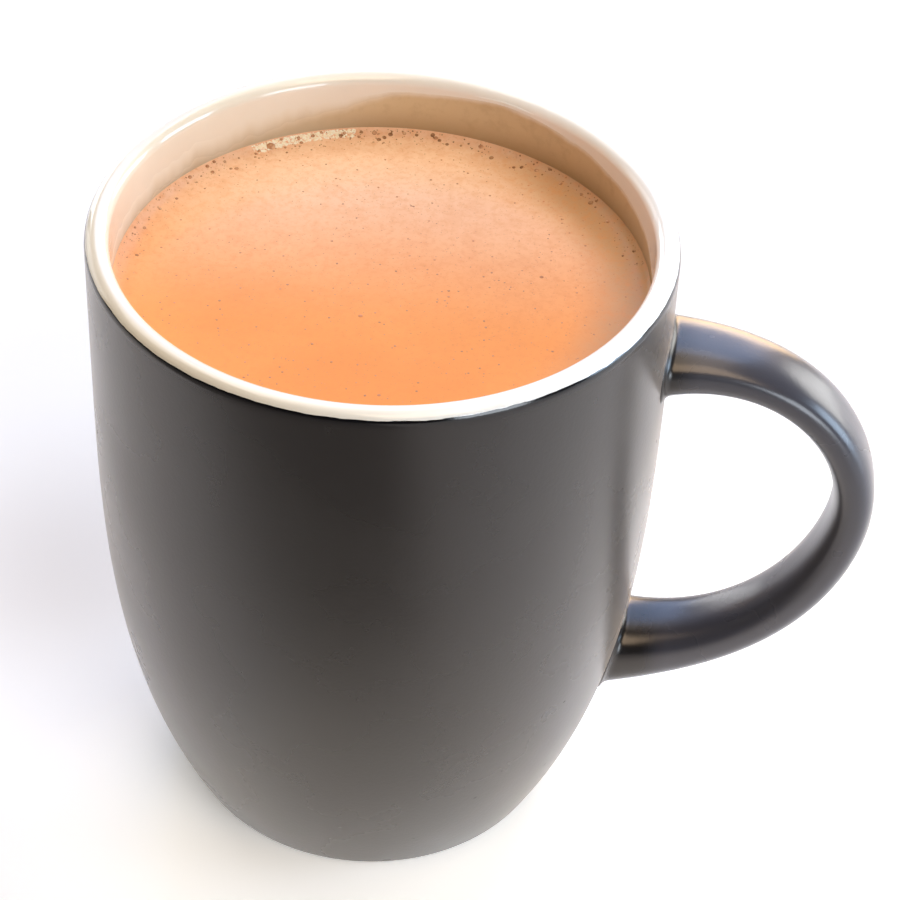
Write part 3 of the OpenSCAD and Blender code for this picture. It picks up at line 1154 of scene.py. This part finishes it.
def softbox(name, azimuth, elevation, size, power, colour):
    """A square soft light that looks at the mug. Its angles are in degrees, its size in metres and
    its power in watts; azimuth 0 is the handle's side, 90 behind the mug."""
    light = bpy.data.lights.new(name, "AREA")
    light.shape = "SQUARE"
    light.size = size
    light.energy = power
    light.color = colour
    lamp = bpy.data.objects.new(name, light)
    bpy.context.scene.collection.objects.link(lamp)
    lamp.visible_camera = False
    up = math.radians(elevation)
    round_by = math.radians(azimuth)
    way = Vector((math.cos(up) * math.cos(round_by), math.cos(up) * math.sin(round_by), math.sin(up)))
    lamp.location = LAMP_AIM + LAMP_REACH * way
    lamp.rotation_euler = (-way).to_track_quat("-Z", "Y").to_euler()


softbox("blue_window", 85, 38, 0.8, 6.0, (0.37, 0.57, 1.0))
softbox("front_right_panel", -45, 12, 0.4, 3.7, (0.73, 0.86, 1.0))
softbox("right_panel", 5, 12, 0.4, 4.4, (0.55, 0.75, 1.0))
softbox("back_right_panel", 40, 12, 0.4, 2.7, (0.96, 1.0, 1.0))
softbox("warm_back_panel", 75, 12, 0.4, 4.0, (1.0, 0.70, 0.40))
softbox("back_left_panel", 120, 12, 0.4, 2.2, (0.91, 0.95, 1.0))
softbox("left_panel", 150, 12, 0.4, 0.8, (1.0, 1.0, 1.0))
softbox("warm_lamp", 300, 60, 0.5, 3.1, (1.0, 0.81, 0.60))
softbox("left_lamp", 140, 60, 0.5, 1.6, (1.0, 1.0, 1.0))
softbox("ceiling_panel", 90, 78, 0.8, 3.8, (1.0, 0.87, 0.71))


# The room that the mug mirrors, lighter low down behind the mug, and the backdrop that is seen
ROOM_DIM = (0.030, 0.030, 0.035, 1)
ROOM_HORIZON = grey(0.10)
BACKDROP = grey(0.95)
HORIZON_LOW, HORIZON_HIGH = 0.08, 0.42
BEHIND_FROM, BEHIND_FULL = -0.1, 0.6


def set_world():
    """Dim room that only fills the reflections, with a pale backdrop."""
    world = bpy.data.worlds.new("room")
    bpy.context.scene.world = world
    world.use_nodes = True
    nodes = Nodes(world.node_tree)
    back = world.node_tree.nodes["Background"]
    seen = nodes.add("ShaderNodeLightPath").outputs["Is Camera Ray"]
    way = nodes.add("ShaderNodeSeparateXYZ")
    nodes.join(nodes.add("ShaderNodeTexCoord").outputs["Generated"], way.inputs[0])
    low = nodes.ramp(way.outputs[2], HORIZON_LOW, HORIZON_HIGH, 1.0, 0.0)
    behind = nodes.ramp(way.outputs[1], BEHIND_FROM, BEHIND_FULL)
    room = nodes.mix(nodes.math("MULTIPLY", low, behind), ROOM_DIM, ROOM_HORIZON)
    nodes.join(nodes.mix(seen, room, BACKDROP), back.inputs["Color"])
    back.inputs["Strength"].default_value = 1.0


set_world()


# ---------------------------------------------------------------- camera
def set_camera():
    """A long lens that looks down at the mug from the front, turned a little towards the handle."""
    data = bpy.data.cameras.new("camera")
    data.lens = 105.16
    data.sensor_width = 36.0
    data.clip_start = 0.01
    camera = bpy.data.objects.new("camera", data)
    bpy.context.scene.collection.objects.link(camera)
    aim = Vector((10.6, 0.92, 60.0)) * MM
    distance = 387.1 * MM
    down = math.radians(40.58)
    heading = math.radians(4.57)
    roll = math.radians(2.96)
    turn = (
        Matrix.Rotation(heading, 4, "Z")
        @ Matrix.Rotation(math.pi / 2 - down, 4, "X")
        @ Matrix.Rotation(roll, 4, "Z")
    )
    back = turn @ Vector((0, 0, distance))
    camera.matrix_world = Matrix.Translation(aim + back) @ turn
    bpy.context.scene.camera = camera


set_camera()
view = bpy.context.scene.view_settings
view.view_transform = "Standard"
view.look = "None"
view.exposure = 0.0
